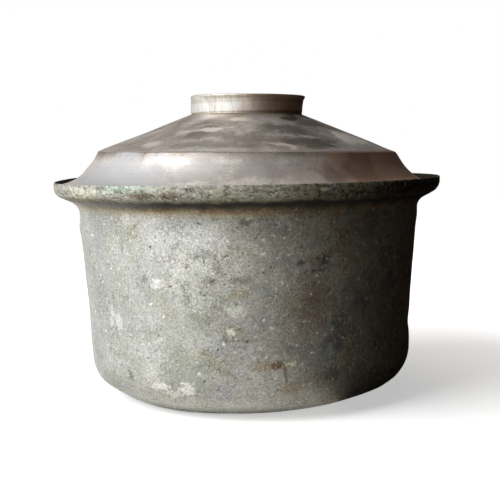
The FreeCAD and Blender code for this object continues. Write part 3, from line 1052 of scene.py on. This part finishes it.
# Painted highlight along the fold edge, with its rubbed wear.
fold_highlight_line = add(tree, "Math", {0: radius, 1: FOLD_LINE, 2: FOLD_HALF_WIDTH}, operation="COMPARE")
share = add(tree, "Math", {0: fold_highlight_line, 1: haze}, operation="MULTIPLY")
tin = add(tree, "Mix", {FACTOR: share, UNDER: tin, OVER: linear("#B4ADA6")}, **PAINT)
print(len(LID_MARKS), "marks on the lid")

# %% [markdown]
# ## Scoured lines
#
# The lid was scoured round and round. A noise that reads only the radius and the height gives circles, and a
# slow noise in its third place breaks them up. An anisotropic shader would stretch the highlight instead,
# but the lines would not be seen.

# %% Scour fine lines round the lid
# The real lines are a tenth of a millimetre apart. They are drawn about one pixel wide, and faint.
SCOUR = 0.9

slow = add(tree, "TexNoise", {"Vector": place, "Scale": per_mm(60), "Detail": 1.0})
axes = add(tree, "SeparateXYZ", {"Vector": place})
height = add(tree, "Math", {0: axes.outputs["Z"], 1: METRE}, operation="MULTIPLY")
round_place = add(tree, "CombineXYZ", {"X": radius, "Y": height, "Z": slow})
scoured = add(tree, "TexNoise", {"Vector": round_place, "Scale": 1 / SCOUR, "Detail": 2.0})
scoured_tone = add(tree, "MapRange", {"Value": scoured, "From Min": 0.3, "From Max": 0.7, "To Min": 0.95,
                                      "To Max": 1.04})
tin = add(tree, "Mix", {FACTOR: 1.0, UNDER: tin, OVER: scoured_tone}, **GLAZE)
print(f"lines every {SCOUR} mm")

# %% [markdown]
# ## Relief and gloss of the wiped tin
#
# The haze and the lines are scratches, so they drive a faint bump. Where a lobe is pale the cloth has
# polished more, and the roughness goes down. The shoulder is a little rougher than the cone.

# %% Give the lid its relief and gloss
LID_BUMP_HEIGHT = 0.0003
SHOULDER_DULLER = 0.1

relief = add(tree, "Math", {0: scoured, 1: 0.15, 2: haze}, operation="MULTIPLY_ADD")
gloss = add(tree, "MapRange", {"Value": lobes, "From Min": 0.38, "From Max": 0.62, "To Min": 0.56,
                               "To Max": 0.46})
polished = add(tree, "Math", {0: on_cone, 1: -SHOULDER_DULLER, 2: gloss}, operation="MULTIPLY_ADD")
fill(tree, shader, {
    "Base Color": tin,
    "Normal": add(tree, "Bump", {"Height": relief, "Strength": 0.25, "Distance": LID_BUMP_HEIGHT}),
    "Roughness": add(tree, "Math", {0: polished, 1: SHOULDER_DULLER}, operation="ADD"),
})
lid_shell.data.materials.append(wiped_tin)
print("the lid's finish has", len(tree.nodes), "nodes")

# %% [markdown]
# ## Handled tin on the ring
#
# Hands have polished the ring, and it was scraped up and down when it was brazed on. A noise that is squeezed
# level and stretched upright gives those strokes. The tin has worn thin in spots, where brown shows, and the
# right side, which lies in shade, is painted warm brown. Dirt lies along the foot. The upper part is painted
# a little darker and the top edge darker still: painted shade.

# %% Paint the ring
# Scrape marks are half a millimetre wide. They are drawn coarser, so that a few show on so small a piece.
STROKE, WORN_SPOT, STROKE_SQUEEZE = 3.4, 11, 0.22

# Scraped and handled tin: to the eye the brightest of the three, with upright streaks.
handled_tin, tree, shader, place = new_material("handled_tin")
fill(tree, shader, {"Metallic": 0.85})

stretched = add(tree, "Mapping", {"Vector": place, "Scale": (1.0, 1.0, STROKE_SQUEEZE)})
strokes = add(tree, "TexNoise", {"Vector": stretched, "Scale": per_mm(STROKE), "Detail": 4.0,
                                 "Roughness": 0.7, "Distortion": 0.9})
share = add(tree, "MapRange", {"Value": strokes, "From Min": 0.32, "From Max": 0.68})
tin = add(tree, "Mix", {FACTOR: share, UNDER: linear("#AEABA6"), OVER: linear("#D6D4D0")}, **PAINT)
worn = add(tree, "TexNoise", {"Vector": place, "Scale": per_mm(WORN_SPOT), "Detail": 4.0})
worn_share = add(tree, "MapRange", {"Value": worn, "From Min": 0.5, "From Max": 0.68, "To Max": 0.3})
axes = add(tree, "SeparateXYZ", {"Vector": place})
# Painted warm brown on the shaded right side of the ring.
right_shade_tint_share = add(tree, "MapRange", {"Value": axes.outputs["X"], "From Min": -0.01, "From Max": 0.03,
                                      "To Max": 0.7})
for share, paint in [(worn_share, "#9A8468"), (right_shade_tint_share, "#D4B08A")]:
    tin = add(tree, "Mix", {FACTOR: share, UNDER: tin, OVER: linear(paint)}, **PAINT)

ring_height = RING_TOP - RING_FOOT
# Dirt at the foot. The upper part is a little darker and the top edge darker, as painted shade.
RING_DIRT_AND_SHADE_TINTS = [
    (0.0, "#C4BBAE"), (1.0, "#FFFFFF"), (7.0, "#FFFFFF"), (8.4, "#E8E4DE"), (12.0, "#F2EFEA"),
    (ring_height - 1.2, "#ECE8E2"), (ring_height - 0.3, "#B8AFA2"),
]
height = add(tree, "Math", {0: axes.outputs["Z"], 1: METRE, 2: -RING_FOOT}, operation="MULTIPLY_ADD")
stain_and_shade_tint = ramped(tree, height, RING_DIRT_AND_SHADE_TINTS, ring_height)
tin = add(tree, "Mix", {FACTOR: 1.0, UNDER: tin, OVER: stain_and_shade_tint}, **GLAZE)
fill(tree, shader, {
    "Base Color": tin,
    "Normal": add(tree, "Bump", {"Height": strokes, "Strength": 0.35, "Distance": BUMP_HEIGHT}),
    "Roughness": add(tree, "MapRange", {"Value": strokes, "From Min": 0.35, "From Max": 0.65, "To Min": 0.56,
                                        "To Max": 0.42}),
})
ring_handle.data.materials.append(handled_tin)
print("the ring's finish has", len(tree.nodes), "nodes")

# %% [markdown]
# ## The paper it stands on
#
# The pot stands on pale paper that runs out to white, as a white picture wants. Paper so bright would light
# the pot from below, and a dark room would not give the white. So the paper has two faces: one for the rays
# that see it, and one for the rays that only carry its light, which is grey on the left and dark on the
# right. It still takes the pot's shadow.

# %% Lay the paper
FLOOR, CLOTH_EDGE = 3.0, 0.07
DARK, WHITE = "#1E150E", "#FFFFFF"


def stage_sheet(name, corners, material):
    """A flat four-cornered sheet of the studio, corners in metres."""
    mesh = bpy.data.meshes.new(name)
    mesh.from_pydata(corners, [], [(0, 1, 2, 3)])
    mesh.materials.append(material)
    sheet = bpy.data.objects.new(name, mesh)
    bpy.context.scene.collection.objects.link(sheet)
    return sheet


def level(x, y, end_x, end_y, height):
    """Corners of a level sheet from one corner round to the opposite one and back."""
    return [(x, y, height), (end_x, y, height), (end_x, end_y, height), (x, end_y, height)]


def seen_rays(tree):
    """1 for the rays of the camera, of gloss and of glass, and 0 for the rays that only carry light."""
    path = add(tree, "LightPath")
    glossy = add(tree, "Math", {0: path.outputs["Is Camera Ray"], 1: path.outputs["Is Glossy Ray"]},
                 operation="MAXIMUM")
    return add(tree, "Math", {0: glossy, 1: path.outputs["Is Transmission Ray"]}, operation="MAXIMUM")


floor_paper = bpy.data.materials.new("floor_paper")
tree = emptied(floor_paper)
place = add(tree, "TexCoord").outputs["Object"]
pale = add(tree, "BsdfDiffuse", {"Color": linear("#F4F4F2")})
far = add(tree, "VectorMath", {0: place}, operation="LENGTH")
strength = add(tree, "MapRange", {"Value": far, "From Min": 0.2, "From Max": 0.7, "To Min": 0.5,
                                  "To Max": 1.0}, interpolation_type="SMOOTHSTEP")
glow = add(tree, "Emission", {"Color": linear(WHITE), "Strength": strength})
seen = add(tree, "AddShader", {0: pale, 1: glow})
to_right = add(tree, "Math", {0: add(tree, "SeparateXYZ", {"Vector": place}), 1: CLOTH_EDGE},
               operation="GREATER_THAN")
thrown = add(tree, "Mix", {FACTOR: to_right, UNDER: linear("#A39E94"), OVER: linear(DARK)}, **PAINT)
carrier = add(tree, "BsdfDiffuse", {"Color": thrown})
paper = add(tree, "MixShader", {0: seen_rays(tree), 1: carrier, 2: seen})
add(tree, "OutputMaterial", {"Surface": paper})
stage_sheet("floor", level(-FLOOR, -FLOOR, FLOOR, FLOOR, 0), floor_paper)
print(f"a sheet of paper {2 * FLOOR:.0f} m wide")

# %% [markdown]
# ## Cloths and cards
#
# Metal shows what stands round it, so a pot is lit by what stands round it too. Dark cloths stand on the
# right and in front and lie on the right, so that the metal falls off to brown there. Grey and brown cards
# stand behind and hang above for the cone of the lid to show. The camera doesn't see them and they cast no
# shadow. The cloth on the floor is for gloss alone, because the paper already throws up dark light there.

# %% Hang the cloths and cards
LEFT, RIGHT, FRONT, BACK, TOP = -0.9, 1.0, -1.3, 1.4, 1.7
CLOTH_LEFT, BACK_SEAM, TOP_SEAM, CLOTH_LIFT = -0.2, 0.12, 0.3, 0.001


def plain_material(name, colour, glow=0.0):
    """A matt surface of one colour, which may also give a little light of its own."""
    material = bpy.data.materials.new(name)
    material.use_nodes = True
    fill(material.node_tree, material.node_tree.nodes["Principled BSDF"], {
        "Base Color": linear(colour), "Roughness": 1.0, "Emission Color": linear(colour),
        "Emission Strength": glow,
    })
    return material


def standing(x, y, end_x, end_y):
    """Corners of an upright sheet over the line between two points of the floor."""
    return [(x, y, 0), (end_x, end_y, 0), (end_x, end_y, TOP), (x, y, TOP)]


cloth = plain_material("dark_cloth", DARK)
grey_card = plain_material("grey_card", "#8A8278")
brown_card = plain_material("brown_card", "#5A5046")
pale_card = plain_material("pale_card", "#D8D0C6", glow=0.35)
HIDDEN = [
    ("cloth_right", standing(RIGHT, FRONT, RIGHT, BACK), cloth),
    ("cloth_front", standing(CLOTH_LEFT, FRONT, RIGHT, FRONT), cloth),
    ("cloth_below", level(CLOTH_EDGE, FRONT, RIGHT, BACK, CLOTH_LIFT), cloth),
    ("card_back", standing(BACK_SEAM, BACK, LEFT, BACK), grey_card),
    ("card_back_right", standing(RIGHT, BACK, BACK_SEAM, BACK), brown_card),
    ("card_top", level(TOP_SEAM, BACK, LEFT, FRONT, TOP), pale_card),
    ("card_top_right", level(RIGHT, BACK, TOP_SEAM, FRONT, TOP), brown_card),
]
for name, corners, material in HIDDEN:
    sheet = stage_sheet(name, corners, material)
    sheet.visible_camera = False
    sheet.visible_shadow = False
    sheet.visible_diffuse = name != "cloth_below"
print(len(HIDDEN), "cloths and cards out of the camera's sight")

# %% [markdown]
# ## Lamps
#
# One large soft lamp hangs on the left, and a wide weak one above fills the lid. Lamps of this size make the
# long highlights that tell metal from paint. The world is white where it is seen and gives almost no light.

# %% Hang the lamps and set the world
POT_MIDDLE = 0.12


def hang(name, width, depth, watts, azimuth, height, distance):
    """An area lamp that looks at the pot's middle, from an azimuth and a height in degrees and a distance
    in metres: the distance along +Z, tipped by 90 degrees less the height and turned by the azimuth."""
    light = bpy.data.lights.new(name, "AREA")
    light.shape, light.size, light.size_y, light.energy = "RECTANGLE", width, depth, watts
    lamp = bpy.data.objects.new(name, light)
    lamp.matrix_world = (Matrix.Translation((0, 0, POT_MIDDLE))
                         @ Matrix.Rotation(math.radians(azimuth), 4, "Z")
                         @ Matrix.Rotation(math.radians(90 - height), 4, "X")
                         @ Matrix.Translation((0, 0, distance)))
    bpy.context.scene.collection.objects.link(lamp)
    return light


key_light = hang("key", 1.3, 1.1, 27.5, azimuth=-62, height=36, distance=1.35)
key_light.color = linear("#FAFBFF")[:3]
top_light = hang("top", 1.6, 0.95, 3.6, azimuth=-90, height=82, distance=1.5)

world = bpy.data.worlds.new("studio")
bpy.context.scene.world = world
tree = emptied(world)
white = add(tree, "Background", {"Color": linear(WHITE), "Strength": 1.0})
dim = add(tree, "Background", {"Color": linear("#FFD9B0"), "Strength": 0.015})
seen_world = add(tree, "MixShader", {0: seen_rays(tree), 1: dim, 2: white})
add(tree, "OutputWorld", {"Surface": seen_world})
print(f"key lamp of {key_light.energy:.1f} W, top lamp of {top_light.energy:.1f} W")

# %% [markdown]
# ## The camera
#
# The photograph was taken from 0.88 m away, a little above the lid, with the camera turned by about a
# degree. Lens and place were fitted to the outline together, because the distance shows in how round the
# lip and the heel look.

# %% Place the camera
LENS, SENSOR = 75.34, 36.0
CAMERA_BACK, CAMERA_HEIGHT, CAMERA_SIDE = 881.88, 204.07, 1.7
CAMERA_PITCH, CAMERA_ROLL = 5.63, -1.1

lens = bpy.data.cameras.new("camera")
lens.lens, lens.sensor_width = LENS, SENSOR
camera = bpy.data.objects.new("camera", lens)
camera.matrix_world = (Matrix.Translation((CAMERA_SIDE / METRE, -CAMERA_BACK / METRE, CAMERA_HEIGHT / METRE))
                       @ Matrix.Rotation(math.radians(90 - CAMERA_PITCH), 4, "X")
                       @ Matrix.Rotation(math.radians(CAMERA_ROLL), 4, "Z"))
bpy.context.scene.collection.objects.link(camera)
bpy.context.scene.camera = camera
bpy.context.scene.view_settings.view_transform = "Standard"
print(f"a lens of {LENS} mm, {CAMERA_BACK / METRE:.2f} m away")
